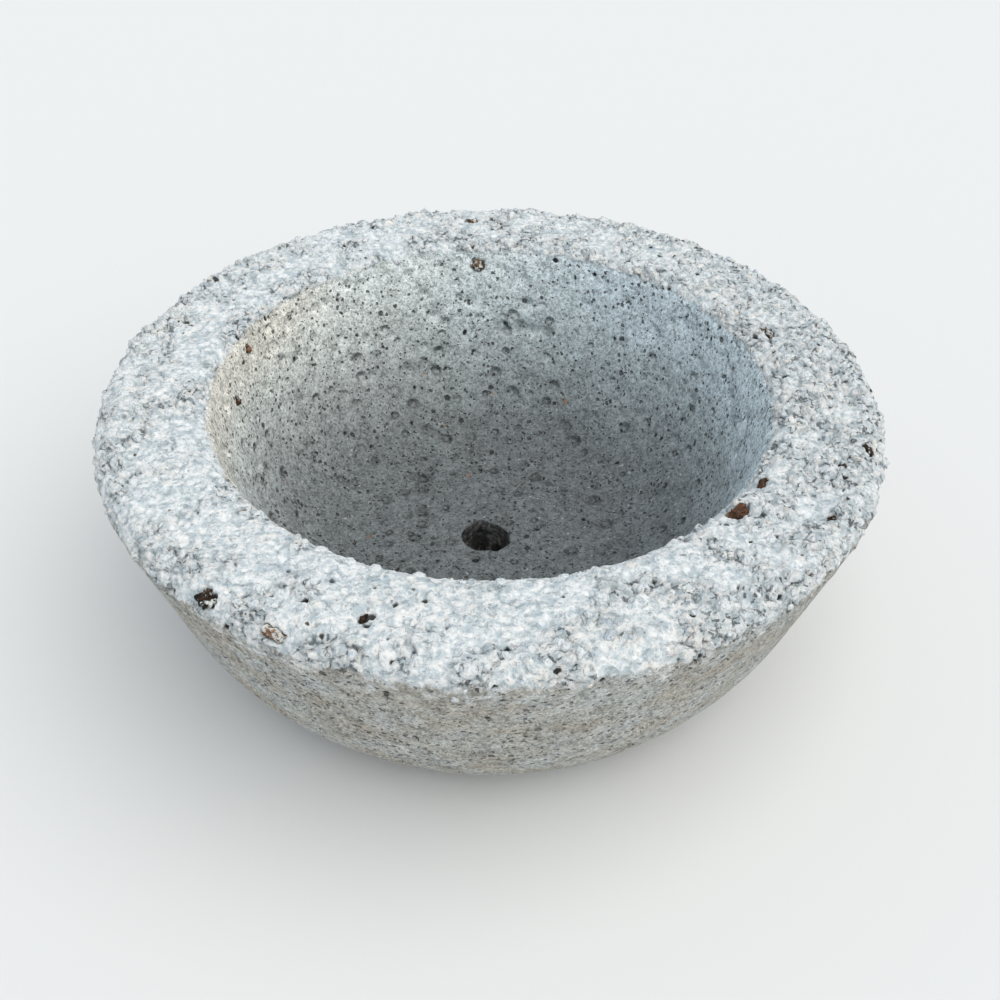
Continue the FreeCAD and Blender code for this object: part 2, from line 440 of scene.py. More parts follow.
# lumps of uneven height pressed together, with ridges of paste over them
def pressLumps(points, outline, rim, s, dice):
    lumps = s["lumps"]
    height = np.zeros(len(points))
    places = scatterOnSkin(outline, rimBand, lumps["count"], dice)
    rises = [dice.random() * lumps["rise"] for place in places]
    tree = treeOf(places)
    for index in np.nonzero(rim > s["least"])[0]:
        place = Vector(points[index])
        for size, rise in s["paste"]:
            height[index] += rise * noise.fractal(place / size, *s["pasteNoise"])
        first, second = tree.find_n(warped(place, s), 2)
        edge = min(1, (second[2] - first[2]) / lumps["gap"])
        height[index] += rises[first[1]] * edge - lumps["depth"] * (1 - edge) ** 2
    return height


# the skin under and close round a chip
def chipHollows(points, chips, s):
    near = np.zeros(len(points))
    skin = treeOf(points)
    for chip in chips:
        chipPoints = meshPoints(chip)
        chipNormals = meshNormals(chip)
        tree = treeOf(chipPoints)
        middle = Vector(chipPoints.mean(0))
        reach = np.linalg.norm(chipPoints - chipPoints.mean(0), axis=1).max() + s["chipGap"]
        for found, index, distance in skin.find_range(middle, reach):
            closest, chipIndex, gap = tree.find(found)
            if (found - closest).dot(Vector(chipNormals[chipIndex])) < 0:
                gap = 0
            near[index] = max(near[index], 1 - gap / s["chipGap"])
    return near


def boreLumps(points, drain, s):
    height = np.zeros(len(points))
    for index in np.nonzero(drain > s["least"])[0]:
        height[index] = s["boreLump"] * drain[index] * noise.noise(Vector(points[index]) / s["boreSize"])
    return height


def roughenBowl(bowl, outline, chips, s):
    dice = random.Random(s["seed"])
    points = meshPoints(bowl)
    normals = meshNormals(bowl)
    tree = treeOf([warped(point, s) for point in points])
    count = len(points)
    rim = attributeOf(bowl, "rim")
    height, tint = raiseCrumbs(outline, tree, count, s, dice)
    rough = patchiness(points, outline, s)
    pores = sinkPores(outline, tree, count, s, dice)
    hollows = np.maximum(sinkHollows(outline, tree, count, hollowSet), sinkScars(count, tree, s))
    near = smoothStep(0.0, s["chipEdge"], chipHollows(points, chips, s))
    height = (height + pressLumps(points, outline, rim, s, dice)) * rough
    height *= smoothStep(s["rimStart"], s["rimFull"], rim)
    relief = (height - pores - hollows) * (1 - near) - s["chipSink"] * near
    relief += boreLumps(points, attributeOf(bowl, "drain"), s)
    grid = relief.reshape(-1, len(outline))
    hollow = (softened(grid, s["softenRounds"]) - grid).ravel()
    moved = points + normals * relief[:, None]
    moved[:, 2] = np.maximum(moved[:, 2], 0)
    bowl.data.vertices.foreach_set("co", moved.ravel())
    setAttribute(bowl, "hollow", hollow / s["fullHollow"])
    setAttribute(bowl, "tint", tint)
    setAttribute(bowl, "rough", rough)
    # painted shade: pores, dents and the gaps round chips get a dark share
    dark = np.maximum(pores / s["fullPore"], hollows / s["fullDent"])
    setAttribute(bowl, "pore", np.maximum(dark, near))
    bowl.data.update()
    print("bowl roughened")


# materials

def shade(red, green, blue):
    linear = []
    for level in (red, green, blue):
        level = level / 255
        linear.append(level / 12.92 if level <= 0.04045 else ((level + 0.055) / 1.055) ** 2.4)
    return (*linear, 1.0)


def newMaterial(name, roughness):
    material = bpy.data.materials.new(name)
    material.use_nodes = True
    tree = material.node_tree
    shader = tree.nodes["Principled BSDF"]
    shader.inputs["Roughness"].default_value = roughness
    shader.inputs["Specular IOR Level"].default_value = 0.3
    return material, tree, shader


def plug(tree, socket, value):
    if isinstance(value, bpy.types.NodeSocket):
        tree.links.new(value, socket)
    else:
        socket.default_value = value


def readAttribute(tree, name):
    node = tree.nodes.new("ShaderNodeAttribute")
    node.attribute_name = name
    return node.outputs["Fac"]


def objectPlace(tree, stretch=(1, 1, 1)):
    coordinates = tree.nodes.new("ShaderNodeTexCoord")
    mapping = tree.nodes.new("ShaderNodeMapping")
    mapping.inputs["Scale"].default_value = stretch
    tree.links.new(coordinates.outputs["Object"], mapping.inputs["Vector"])
    return mapping.outputs["Vector"]


def noiseAt(tree, place, size, detail=4.0, roughness=0.55, distortion=0.0):
    node = tree.nodes.new("ShaderNodeTexNoise")
    plug(tree, node.inputs["Vector"], place)
    node.inputs["Scale"].default_value = 1 / size
    node.inputs["Detail"].default_value = detail
    node.inputs["Roughness"].default_value = roughness
    node.inputs["Distortion"].default_value = distortion
    return node.outputs["Fac"]


def cellsAt(tree, place, size, feature="F1"):
    node = tree.nodes.new("ShaderNodeTexVoronoi")
    node.feature = feature
    plug(tree, node.inputs["Vector"], place)
    node.inputs["Scale"].default_value = 1 / size
    return node


def mathNode(tree, operation, a, b):
    node = tree.nodes.new("ShaderNodeMath")
    node.operation = operation
    plug(tree, node.inputs[0], a)
    plug(tree, node.inputs[1], b)
    return node.outputs[0]


def plus(tree, a, b):
    return mathNode(tree, "ADD", a, b)


def minus(tree, a, b):
    return mathNode(tree, "SUBTRACT", a, b)


def times(tree, a, b):
    return mathNode(tree, "MULTIPLY", a, b)


def greater(tree, a, b):
    return mathNode(tree, "MAXIMUM", a, b)


def spread(tree, value, low, sunAndShadeSides, newLow=0.0, newHigh=1.0):
    node = tree.nodes.new("ShaderNodeMapRange")
    node.interpolation_type = "SMOOTHSTEP"
    plug(tree, node.inputs["Value"], value)
    plug(tree, node.inputs["From Min"], low)
    plug(tree, node.inputs["From Max"], sunAndShadeSides)
    plug(tree, node.inputs["To Min"], newLow)
    plug(tree, node.inputs["To Max"], newHigh)
    return node.outputs["Result"]


def mixColours(tree, share, first, second):
    node = tree.nodes.new("ShaderNodeMix")
    node.data_type = "RGBA"
    plug(tree, node.inputs[0], share)
    plug(tree, node.inputs[6], first)
    plug(tree, node.inputs[7], second)
    return node.outputs[2]


def bumpFrom(tree, height, distance, below=None, strength=1.0):
    node = tree.nodes.new("ShaderNodeBump")
    node.inputs["Strength"].default_value = strength
    node.inputs["Distance"].default_value = distance
    plug(tree, node.inputs["Height"], height)
    if below:
        tree.links.new(below, node.inputs["Normal"])
    return node.outputs["Normal"]


def vectorMath(tree, operation, a, b):
    node = tree.nodes.new("ShaderNodeVectorMath")
    node.operation = operation
    plug(tree, node.inputs[0], a)
    plug(tree, node.inputs["Scale"] if operation == "SCALE" else node.inputs[1], b)
    return node.outputs[0]


# a place pushed about, so that cells lose their straight edges
def unevenPlace(tree, place, size, amount):
    node = tree.nodes.new("ShaderNodeTexNoise")
    plug(tree, node.inputs["Vector"], place)
    node.inputs["Scale"].default_value = 1 / size
    node.inputs["Detail"].default_value = 3
    centred = vectorMath(tree, "SUBTRACT", node.outputs["Color"], (0.5, 0.5, 0.5))
    return vectorMath(tree, "ADD", place, vectorMath(tree, "SCALE", centred, amount))


# pinholes: a share of the cells of a pattern hold one hole each, of uneven size
def pinholes(tree, place, size, share, smallest, largest):
    cells = cellsAt(tree, place, size)
    split = tree.nodes.new("ShaderNodeSeparateColor")
    tree.links.new(cells.outputs["Color"], split.inputs["Color"])
    there = mathNode(tree, "LESS_THAN", split.outputs["Red"], share)
    radius = spread(tree, split.outputs["Green"], 0.0, 1.0, smallest, largest)
    inner = times(tree, radius, 0.55)
    hole = spread(tree, cells.outputs["Distance"], inner, radius, 1.0, 0.0)
    return times(tree, hole, there)


# dimples: a share of the cells hold a shallow dish each, deepest along its upper edge
def dimples(tree, place, size, share, radius):
    cells = cellsAt(tree, place, size)
    split = tree.nodes.new("ShaderNodeSeparateColor")
    tree.links.new(cells.outputs["Color"], split.inputs["Color"])
    there = mathNode(tree, "LESS_THAN", split.outputs["Blue"], share)
    reach = spread(tree, split.outputs["Green"], 0.0, 1.0, radius * 0.55, radius)
    dish = spread(tree, cells.outputs["Distance"], times(tree, reach, 0.2), reach, 1.0, 0.0)
    off = tree.nodes.new("ShaderNodeSeparateXYZ")
    tree.links.new(vectorMath(tree, "SUBTRACT", place, cells.outputs["Position"]), off.inputs[0])
    lean = spread(tree, off.outputs["Z"], -radius * size, radius * size * 0.7, 0.0, 1.0)
    return times(tree, times(tree, dish, there), lean)


tufaSet = dict(
    rimWhite=shade(247, 248, 246),
    rimCream=shade(245, 240, 230),
    # painted light and shade: the rim's low places take this blue-grey, as do its smeared patches
    rimGrey=shade(193, 205, 209),
    # painted shade in recesses and dishes
    recessShade=shade(76, 75, 71),
    # painted shade in the torn gaps of the rim
    rimGap=shade(94, 95, 93),
    # painted light and shade: the inside's side that faces the sun, then its side in shade
    insideSunSide=shade(224, 229, 224),
    insideShadeSide=shade(214, 227, 231),
    insideTan=shade(230, 226, 214),
    # painted shade: the inside's colour towards the floor
    insideFloorShade=shade(112, 117, 118),
    outsidePale=shade(184, 187, 184),
    outsideBrown=shade(174, 169, 158),
    speck=shade(150, 108, 74),
    grit=shade(236, 234, 226),
    # painted shade in pits, pores, dents and the gap round each chip
    hole=shade(30, 29, 27),
    # painted shade inside the drain bore, dark and with paler lumps
    damp=shade(56, 56, 55),
    boreShadePale=shade(118, 118, 117),
    # size of the push that makes a pattern uneven, and how far it pushes
    loose=(0.0028, 0.0026), calm=(0.0030, 0.0012), torn=(0.0022, 0.0019),
    # size of a cell, share of the cells that hold one, smallest and largest radius as shares of a cell
    wideHoles=(0.0075, 0.28, 0.10, 0.22),
    finerHoles=(0.0016, 0.48, 0.10, 0.32),
    rimDots=(0.010, 0.50, 0.06, 0.12),
    peatSpecks=(0.0110, 0.30, 0.05, 0.13),
    paleGrit=(0.0026, 0.45, 0.12, 0.36),
    fineHoles=(0.0026, 0.14, 0.38),      # the share of these changes over the skin
    dishes=(0.0085, 0.55, 0.46),      # these have one largest radius
    grainBump=0.0018, dishBump=0.0038, holeBump=0.0007,
)


# places, zones and patterns that the finishes of the skin share
def skinPatterns(tree, s):
    place = objectPlace(tree)
    split = tree.nodes.new("ShaderNodeSeparateXYZ")
    tree.links.new(place, split.inputs[0])
    skin = dict(
        place=place,
        side=split.outputs["X"],
        level=split.outputs["Z"],
        loose=unevenPlace(tree, place, *s["loose"]),
        broad=noiseAt(tree, place, 0.03, 5),
        patch=noiseAt(tree, place, 0.008, 5, 0.6),
        ragged=noiseAt(tree, place, 0.0034, 6, 0.68, 0.6),
        sand=noiseAt(tree, place, 0.0013, 4, 0.7),
    )
    for zone in ("inside", "drain", "hollow", "tint", "rough", "pore"):
        skin[zone] = readAttribute(tree, zone)
    # the pale crust of the rim ends in a ragged line
    uneven = times(tree, minus(tree, skin["patch"], 0.5), 1.3)
    skin["rim"] = spread(tree, plus(tree, readAttribute(tree, "rim"), uneven), 0.25, 0.62)
    skin["walls"] = spread(tree, skin["rim"], 0.0, 1.0, 1.0, 0.2)
    skin["outer"] = times(tree, minus(tree, 1.0, skin["inside"]), skin["walls"])
    return skin


# pale paste, smeared in patches, with torn gaps where it is rough; the gaps are painted dark as painted
# shade, and the raised crust is painted paler than the low places as painted light and shade
def rimFinish(tree, skin, s):
    lumps = cellsAt(tree, skin["loose"], 0.0030).outputs["Distance"]
    crust = minus(tree, plus(tree, skin["ragged"], times(tree, skin["sand"], 0.4)), times(tree, lumps, 0.4))
    # painted light and shade: raised crust and pale patches whiter, low places bluer grey; cream shows only
    # on the raised parts
    litTopsAndPatches = spread(tree, plus(tree, crust, times(tree, skin["patch"], 0.5)), 0.54, 0.96)
    pale = mixColours(tree, litTopsAndPatches, s["rimGrey"], s["rimWhite"])
    creamCrumbs = spread(tree, skin["tint"], 0.70, 0.95, 0.0, 0.8)
    creamPatches = spread(tree, skin["broad"], 0.46, 0.62, 0.0, 0.35)
    cream = times(tree, greater(tree, creamCrumbs, creamPatches), litTopsAndPatches)
    width = spread(tree, skin["patch"], 0.58, 0.38, 0.02, 0.17)
    edges = cellsAt(tree, skin["loose"], 0.0048, "DISTANCE_TO_EDGE").outputs["Distance"]
    seams = spread(tree, edges, times(tree, width, 0.3), width, 1.0, 0.0)
    torn = times(tree, seams, spread(tree, skin["ragged"], 0.50, 0.40, 0.0, 0.9))
    # painted shade: the torn gaps between lumps are painted dark
    gap = times(tree, torn, spread(tree, skin["rough"], 0.55, 1.10, 0.16, 0.85))
    colour = mixColours(tree, gap, mixColours(tree, cream, pale, s["rimCream"]), s["rimGap"])
    rise = times(tree, skin["rim"], spread(tree, skin["rough"], 0.2, 1.0, 0.55, 1.0))
    return colour, times(tree, minus(tree, crust, gap), rise)


# the inside is darker towards the floor as painted shade, paler on its left and cooler grey on its right as
# painted light and shade, and tan along the left lip; the outside is stained
def wallFinish(tree, skin, s):
    off = minus(tree, skin["broad"], 0.5)
    side = plus(tree, skin["side"], times(tree, off, 0.08))
    # painted light and shade: the inside is paler on the left, which faces the sun, and cooler grey on the
    # right
    sunAndShadeSides = mixColours(tree, spread(tree, side, -0.08, 0.06), s["insideSunSide"], s["insideShadeSide"])
    leftLip = times(tree, spread(tree, skin["side"], -0.06, -0.10), spread(tree, skin["level"], 0.072, 0.105))
    warm = mixColours(tree, leftLip, sunAndShadeSides, s["insideTan"])
    level = plus(tree, skin["level"], times(tree, off, 0.02))
    # painted shade: the inside darkens towards the floor
    insideColour = mixColours(tree, spread(tree, level, 0.028, 0.103), s["insideFloorShade"], warm)
    stain = noiseAt(tree, objectPlace(tree, (1, 1, 1.5)), 0.020, 5, 0.65)
    outsideColour = mixColours(tree, spread(tree, stain, 0.66, 0.36), s["outsidePale"], s["outsideBrown"])
    return mixColours(tree, skin["inside"], outsideColour, insideColour)


# sandy light and dark, less of it on the rim
def sandy(tree, skin, colour):
    speckle = spread(tree, noiseAt(tree, skin["place"], 0.00075, 2, 0.6), 0.34, 0.66, 0.78, 1.16)
    grit = plus(tree, speckle, spread(tree, skin["sand"], 0.36, 0.62, -0.20, 0.14))
    calmed = plus(tree, grit, times(tree, minus(tree, 1.0, grit), times(tree, skin["rim"], 0.75)))
    mottle = spread(tree, noiseAt(tree, skin["place"], 0.0026, 3, 0.6), 0.34, 0.66, -0.16, 0.16)
    blotch = plus(tree, mottle, spread(tree, skin["patch"], 0.34, 0.66, -0.12, 0.12))
    uneven = plus(tree, calmed, times(tree, blotch, minus(tree, 1.0, skin["rim"])))
    return vectorMath(tree, "SCALE", colour, uneven)


# specks of peat and pale grit
def specked(tree, skin, s, colour):
    specks = times(tree, pinholes(tree, skin["loose"], *s["peatSpecks"]), skin["walls"])
    peaty = mixColours(tree, times(tree, specks, 0.55), colour, s["speck"])
    share = times(tree, spread(tree, skin["outer"], 0.0, 1.0, 0.3, 0.75), skin["walls"])
    light = times(tree, pinholes(tree, skin["loose"], *s["paleGrit"]), share)
    return mixColours(tree, light, peaty, s["grit"])


# dishes where a grain fell out, inside and most of them low down
def dishesOn(tree, skin, s):
    calm = unevenPlace(tree, skin["place"], *s["calm"])
    low = times(tree, skin["inside"], spread(tree, skin["level"], 0.068, 0.098, 1.0, 0.30))
    return times(tree, dimples(tree, calm, *s["dishes"]), times(tree, skin["walls"], low))


# holes of three sizes on the walls, and a few dots on the rim, painted dark as painted shade in pits
def holesOn(tree, skin, s):
    torn = unevenPlace(tree, skin["place"], *s["torn"])
    cell, smallest, largest = s["fineHoles"]
    share = plus(tree, spread(tree, skin["broad"], 0.42, 0.58, 0.25, 0.85), times(tree, skin["outer"], 0.30))
    wide = pinholes(tree, torn, *s["wideHoles"])
    fine = pinholes(tree, torn, cell, share, smallest, largest)
    finer = pinholes(tree, skin["loose"], *s["finerHoles"])
    holes = times(tree, greater(tree, wide, greater(tree, fine, finer)), skin["walls"])
    dots = times(tree, pinholes(tree, torn, *s["rimDots"]), skin["rim"])
    return holes, dots


# colours laid over each other: crust or wall, sand, painted shade in recesses, specks, dishes with painted
# shade, holes and pits painted dark as painted shade, and painted shade in the drain bore
def tufaMaterial(s):
    material, tree, shader = newMaterial("castTufa", 0.92)
    skin = skinPatterns(tree, s)
    rimColour, rimHeight = rimFinish(tree, skin, s)
    colour = mixColours(tree, skin["rim"], wallFinish(tree, skin, s), rimColour)
    colour = sandy(tree, skin, colour)
    # painted shade: places below their softened surroundings are painted darker
    recessShadeAmount = spread(tree, skin["rim"], 0.0, 1.0, 0.55, 0.36)
    paintedRecessShade = times(tree, spread(tree, skin["hollow"], 0.30, 1.1), recessShadeAmount)
    colour = mixColours(tree, paintedRecessShade, colour, s["recessShade"])
    colour = specked(tree, skin, s, colour)
    dish = dishesOn(tree, skin, s)
    # painted shade: the dishes are painted darker, most along their upper edge
    colour = mixColours(tree, times(tree, dish, 0.27), colour, s["recessShade"])
    holes, dots = holesOn(tree, skin, s)
    onWalls = times(tree, holes, spread(tree, skin["outer"], 0.0, 1.0, 0.80, 0.66))
    shown = greater(tree, onWalls, times(tree, dots, 0.9))
    # painted shade: pits, pores, dents and the gaps round chips are painted dark
    pitShade = greater(tree, shown, spread(tree, skin["pore"], 0.25, 0.95, 0.0, 0.92))
    colour = mixColours(tree, pitShade, colour, s["hole"])
    # painted shade: the drain bore is painted dark, with paler lumps
    damp = spread(tree, noiseAt(tree, skin["place"], 0.005, 4, 0.6), 0.48, 0.64)
    colour = mixColours(tree, skin["drain"], colour, mixColours(tree, damp, s["damp"], s["boreShadePale"]))
    plug(tree, shader.inputs["Base Color"], colour)
    wallHeight = times(tree, skin["sand"], spread(tree, skin["rim"], 0.0, 1.0, 0.33, 0.0))
    grained = bumpFrom(tree, plus(tree, rimHeight, wallHeight), s["grainBump"])
    dished = bumpFrom(tree, minus(tree, 1.0, dish), s["dishBump"], grained)
    plug(tree, shader.inputs["Normal"], bumpFrom(tree, minus(tree, 1.0, holes), s["holeBump"], dished))
    return material


# finish the bowl's mesh: zones, relief, a slow wobble, then fewer faces

def stretchShares(outline):
    names = [stretch for stretch, point in outline]
    shares = []
    for index, name in enumerate(names):
        first = names.index(name)
        count = names.count(name)
        shares.append((name, (index - first) / max(1, count - 1)))
    return shares


def markZones(bowl, outline, s):
    rim = []
    inside = []
    drain = []
    for name, share in stretchShares(outline):
        onRim = float(name == "rimTop")
        within = float(name in insideBand + ("drainTop", "drain"))
        inDrain = float(name == "drain")
        if name == "outerWall":
            onRim = s["underRim"] * smoothStep(0.72, 1.0, share)
        elif name == "rimEdge":
            onRim = s["underRim"] + (1 - s["underRim"]) * smoothStep(0.05, 0.60, share)
        elif name == "lip":
            onRim = 1 - smoothStep(0.25, 1.0, share)
            within = smoothStep(0.2, 0.7, share)
        elif name == "drainTop":
            inDrain = smoothStep(0.3, 1.0, share)
        rim.append(onRim)
        inside.append(within)
        drain.append(inDrain)
    for zone, values in (("rim", rim), ("drain", drain), ("inside", inside)):
        setAttribute(bowl, zone, np.tile(values, s["turns"]))


def swell(piece, kind, size, strength):
    texture = bpy.data.textures.new(kind, "CLOUDS")
    texture.noise_scale = size
    texture.noise_depth = 3
    addModifier(piece, "DISPLACE", texture=texture, texture_coords="LOCAL", strength=strength, mid_level=0.5)
    bpy.data.textures.remove(texture)


def makeBowl(chips):
    bowl, outline = turnBowl(bowlSet)
    markZones(bowl, outline, bowlSet)
    pushDrain(bowl, bowlSet)
    roughenBowl(bowl, outline, chips, reliefSet)
    swell(bowl, "wobble", bowlSet["wobbleSize"], bowlSet["wobble"])
    points = meshPoints(bowl)
    points[:, 2] = np.maximum(points[:, 2], 0)
    bowl.data.vertices.foreach_set("co", points.ravel())
    addModifier(bowl, "DECIMATE", ratio=bowlSet["triangles"] / (2 * len(bowl.data.polygons)))
    bpy.ops.object.shade_smooth()
    bowl.data.materials.append(tufaMaterial(tufaSet))
    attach(bowl, "root")
    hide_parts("bowl")
    print("bowl finished:", len(bowl.data.polygons), "faces")
    return bowl


# chips and lumps: each keeps its CAD piece's place and is roughened

chipSet = dict(
    voxel=0.00022,
    ragged=dict(size=0.0024, depth=0.0014),      # breaks the outline
    fibre=dict(size=0.0005, length=0.004, depth=0.0006),      # ridges along a bark chip
    lump=dict(size=0.0017, depth=0.0024, middle=0.35),      # knobs of a peat lump
    chips=[      # tone runs from black to tan, dust is the cement left on the chip
        dict(node="bark_chip_right_lip", slot="bark", tone=0.50, dust=0.18, stretch=(1.7, 0.75, 1)),
        dict(node="bark_sliver_right_lip", slot="bark", tone=0.35, dust=0.18),
        dict(node="bark_flake_front_left", slot="bark", tone=0.95, dust=0.45, stretch=(1.4, 0.85, 1)),
        dict(node="bark_splinter_back_rim", slot="bark", tone=0.35, dust=0.40),
        dict(node="bark_sliver_right_back", slot="bark", tone=0.45, dust=0.42),
        dict(node="bark_fleck_left_wall", slot="bark", tone=0.90, dust=0.30),
        dict(node="bark_fleck_left_middle", slot="bark", tone=0.45, dust=0.34),
        dict(node="peat_lump_front_left", slot="peat", tone=0.20, dust=0.36),
        dict(node="peat_lump_back_wall", slot="peat", tone=0.85, dust=0.38),
        dict(node="peat_lump_right_rim", slot="peat", tone=0.30, dust=0.36),
        dict(node="peat_lump_right_edge", slot="peat", tone=0.35, dust=0.36),
        dict(node="peat_crumb_right_front", slot="peat", tone=0.30, dust=0.34),
        dict(node="peat_crumb_front_rim", slot="peat", tone=0.20, dust=0.25),
    ],
)

woodSet = dict(
    bark=[shade(30, 24, 20), shade(96, 66, 46), shade(150, 112, 84)],
    peat=[shade(20, 18, 16), shade(70, 50, 38), shade(128, 104, 82)],
    dust=shade(212, 214, 210),
)


def copyNode(name, title):
    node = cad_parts[name]
    piece = node.copy()
    piece.data = node.data.copy()
    piece.name = title
    piece.parent = None
    bpy.context.scene.collection.objects.link(piece)
    piece.data.materials.clear()
    pickOnly(piece)
    mergeAndFaceOut()
    return piece


def titleOf(node):
    first, *rest = node.split("_")
    return first + "".join(word.capitalize() for word in rest)


ownAxes = ("along", "across", "through")


# places along the chip's length, width and depth
def chipFrame(points):
    off = points - points.mean(0)
    directions = np.linalg.svd(off, full_matrices=False)[2]
    return off @ directions.T


def makeChip(item, s, materials):
    piece = copyNode(item["node"], titleOf(item["node"]))
    addModifier(piece, "REMESH", mode="VOXEL", voxel_size=s["voxel"])
    points = meshPoints(piece)
    normals = meshNormals(piece)
    points = points.mean(0) + (points - points.mean(0)) * item.get("stretch", (1, 1, 1))
    own = chipFrame(points)
    push = np.zeros(len(points))
    for index, place in enumerate(own):
        push[index] = noise.noise(Vector(place) / s["ragged"]["size"]) * s["ragged"]["depth"]
        if item["slot"] == "bark":
            fibre = s["fibre"]
            spot = Vector((place[0] / fibre["length"], place[1] / fibre["size"], place[2] / fibre["size"]))
            push[index] += noise.noise(spot) * fibre["depth"]
        else:
            lump = s["lump"]
            toKnob = noise.voronoi(Vector(place) / lump["size"])[0][0]
            push[index] += (lump["middle"] - toKnob) * lump["depth"]
    points = points + normals * push[:, None]
    piece.data.vertices.foreach_set("co", points.ravel())
    for index, name in enumerate(ownAxes):
        setAttribute(piece, name, own[:, index] * 1000)      # in millimetres
    for name in ("tone", "dust"):
        setAttribute(piece, name, np.full(len(points), item[name]))
    pickOnly(piece)
    bpy.ops.object.shade_smooth()
    piece.data.materials.append(materials[item["slot"]])
    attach(piece, "root")
    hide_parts(item["node"])
    return piece


def ownPlace(tree, stretch):
    join = tree.nodes.new("ShaderNodeCombineXYZ")
    for index, name in enumerate(ownAxes):
        tree.links.new(times(tree, readAttribute(tree, name), stretch[index]), join.inputs[index])
    return join.outputs[0]


def woodMaterial(name, stretch, tones, dust):
    material, tree, shader = newMaterial(name, 0.85)
    place = ownPlace(tree, stretch)
    tone = readAttribute(tree, "tone")
    grain = noiseAt(tree, place, 1.0, 5, 0.65)
    mottle = noiseAt(tree, place, 3.0, 3)
    level = plus(tree, tone, times(tree, minus(tree, mottle, 0.5), 1.8))
    dark = mixColours(tree, spread(tree, level, 0.0, 0.5), tones[0], tones[1])
    body = mixColours(tree, spread(tree, level, 0.5, 1.0), dark, tones[2])
    wood = mixColours(tree, spread(tree, grain, 0.55, 0.35, 0.0, 0.8), body, tones[0])
    powder = noiseAt(tree, objectPlace(tree), 0.0022, 4, 0.65)
    cover = minus(tree, plus(tree, powder, readAttribute(tree, "dust")), 0.88)
    colour = mixColours(tree, spread(tree, cover, 0.0, 0.10), wood, dust)
    plug(tree, shader.inputs["Base Color"], colour)
    plug(tree, shader.inputs["Normal"], bumpFrom(tree, grain, 0.0005))
    return material


def makeChips(s):
    materials = dict(
        bark=woodMaterial("barkFibre", (0.25, 1.6, 1.6), woodSet["bark"], woodSet["dust"]),
        peat=woodMaterial("peatCrumb", (1.0, 1.0, 1.0), woodSet["peat"], woodSet["dust"]),
    )
    chips = [makeChip(item, s, materials) for item in s["chips"]]
    print("chips finished:", len(chips))
    return chips


# perlite grains: the CAD grains, each cut to an uneven nugget, and finer crumbs between them

grainSet = dict(
    seed=5,
    count=331, faces=40, unevenness=0.0016, size=0.0017, bump=0.0010,
    crumbs=900, small=0.0008, large=0.0021, flat=(0.40, 0.80), sunk=(0.10, 0.55), dented=0.36,
    sides=7, rings=4, narrow=(0.6, 1.0),
    white=shade(241, 244, 243), cream=shade(243, 235, 219), grey=shade(194, 207, 215),
)


def perliteMaterial(s):
    material, tree, shader = newMaterial("perlite", 0.9)
    place = objectPlace(tree)
    loose = unevenPlace(tree, place, 0.0028, 0.0026)
    crumbs = cellsAt(tree, loose, 0.0012).outputs["Distance"]
    sand = noiseAt(tree, place, 0.0012, 4, 0.7)
    crust = minus(tree, sand, times(tree, crumbs, 0.8))
    tint = readAttribute(tree, "tint")
    warm = mixColours(tree, spread(tree, tint, 0.72, 0.95, 0.0, 0.8), s["white"], s["cream"])
    cool = mixColours(tree, spread(tree, tint, 0.22, 0.02, 0.0, 0.7), warm, s["grey"])
    # painted shade: the low places between crumbs are painted blue-grey
    colour = mixColours(tree, spread(tree, crust, 0.12, -0.25), cool, s["grey"])
    plug(tree, shader.inputs["Base Color"], colour)
    plug(tree, shader.inputs["Normal"], bumpFrom(tree, crust, s["bump"], strength=0.9))
    return material


# crumbs sit on the finished skin, most where the rim is roughest
def scatterCrumbs(bowl, s):
    dice = np.random.default_rng(s["seed"])
    deselectAll()
    bpy.ops.mesh.primitive_uv_sphere_add(segments=s["sides"], ring_count=s["rings"], radius=1)
    ball = bpy.context.object
    corners = meshPoints(ball)
    faces = sorted(list(face.vertices) for face in ball.data.polygons)
    bpy.data.objects.remove(ball)
    weights = attributeOf(bowl, "rim") * attributeOf(bowl, "rough") ** 3 * (attributeOf(bowl, "pore") < 0.2)
    picks = dice.choice(len(weights), s["crumbs"], replace=False, p=weights / weights.sum())
    outward = meshNormals(bowl)[picks]
    sideways = np.cross(outward, dice.normal(size=outward.shape))
    sideways /= np.linalg.norm(sideways, axis=1)[:, None]
    onward = np.cross(outward, sideways)
    radius = s["small"] + (s["large"] - s["small"]) * dice.random(s["crumbs"]) ** 2
    wide = radius * dice.uniform(*s["narrow"], s["crumbs"])
    tall = radius * dice.uniform(*s["flat"], s["crumbs"])
    middle = meshPoints(bowl)[picks] - outward * (tall * dice.uniform(*s["sunk"], s["crumbs"]))[:, None]
    uneven = corners[None] * dice.uniform(1 - s["dented"], 1 + s["dented"], (s["crumbs"], len(corners), 1))
    points = middle[:, None] + uneven[..., 0:1] * (sideways * radius[:, None])[:, None]
    points += uneven[..., 1:2] * (onward * wide[:, None])[:, None]
    points += uneven[..., 2:3] * (outward * tall[:, None])[:, None]
    every = []
    for index in range(s["crumbs"]):
        every.extend([corner + index * len(corners) for corner in face] for face in faces)
    mesh = bpy.data.meshes.new("crumbs")
    mesh.from_pydata(points.reshape(-1, 3).tolist(), [], every)
    crumbs = bpy.data.objects.new("crumbs", mesh)
    bpy.context.scene.collection.objects.link(crumbs)
    setAttribute(crumbs, "tint", np.repeat(dice.random(s["crumbs"]), len(corners)))
    return crumbs


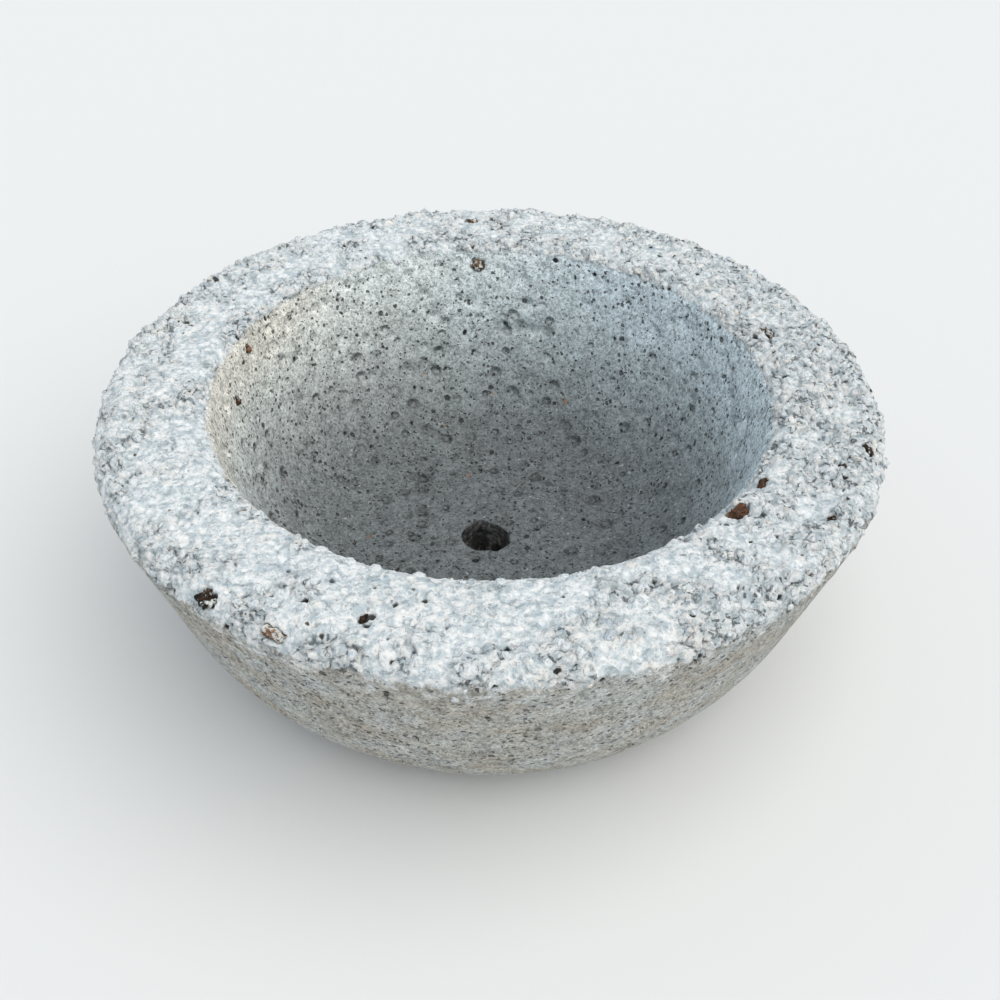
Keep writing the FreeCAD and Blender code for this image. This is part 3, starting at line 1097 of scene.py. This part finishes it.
def makeGrains(bowl, s):
    grains = copyNode("perlite_grains", "perliteGrains")
    addModifier(grains, "DECIMATE", ratio=s["faces"] * s["count"] / len(grains.data.polygons))
    swell(grains, "nugget", s["size"], s["unevenness"])
    setAttribute(grains, "tint", np.full(len(grains.data.vertices), 0.5))
    crumbs = scatterCrumbs(bowl, s)
    pickOnly(grains)
    crumbs.select_set(True)
    bpy.ops.object.join()
    mergeAndFaceOut(doubles=0)
    bpy.ops.object.shade_smooth()
    grains.data.materials.append(perliteMaterial(s))
    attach(grains, "root")
    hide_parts("perlite_grains")
    print("grains finished:", len(grains.data.polygons), "faces")


chips = makeChips(chipSet)
bowl = makeBowl(chips)
makeGrains(bowl, grainSet)


# stage: a pale floor, a soft sky and a broad sun high on the right

stageSet = dict(
    floorSize=40.0, floorColour=shade(230, 230, 228),
    skyStrength=0.68, skyColour=shade(226, 236, 248), backdrop=shade(237, 241, 241),
    sunTurn=(18, 22, 0), sunStrength=2.0, sunSpread=75, sunColour=shade(255, 250, 243),
)


def addStage(s):
    deselectAll()
    bpy.ops.mesh.primitive_plane_add(size=s["floorSize"])
    floor = bpy.context.object
    floor.name = "floor"
    material, tree, shader = newMaterial("paleFloor", 0.9)
    shader.inputs["Base Color"].default_value = s["floorColour"]
    floor.data.materials.append(material)
    bpy.ops.object.light_add(type="SUN", rotation=[math.radians(angle) for angle in s["sunTurn"]])
    sun = bpy.context.object
    sun.data.energy = s["sunStrength"]
    sun.data.angle = math.radians(s["sunSpread"])
    sun.data.color = s["sunColour"][:3]
    world = bpy.data.worlds.new("sky")
    bpy.context.scene.world = world
    world.use_nodes = True
    tree = world.node_tree
    sky = tree.nodes["Background"]
    sky.inputs["Color"].default_value = s["skyColour"]
    sky.inputs["Strength"].default_value = s["skyStrength"]
    # behind the floor the camera sees a backdrop as pale as the floor
    backdrop = tree.nodes.new("ShaderNodeBackground")
    backdrop.inputs["Color"].default_value = s["backdrop"]
    path = tree.nodes.new("ShaderNodeLightPath").outputs
    mirrored = greater(tree, path["Is Glossy Ray"], path["Is Transmission Ray"])
    mix = tree.nodes.new("ShaderNodeMixShader")
    tree.links.new(greater(tree, path["Is Camera Ray"], mirrored), mix.inputs[0])
    tree.links.new(sky.outputs[0], mix.inputs[1])
    tree.links.new(backdrop.outputs[0], mix.inputs[2])
    tree.links.new(mix.outputs[0], tree.nodes["World Output"].inputs["Surface"])
    bpy.context.scene.view_settings.view_transform = "Standard"
    print("stage set")


addStage(stageSet)
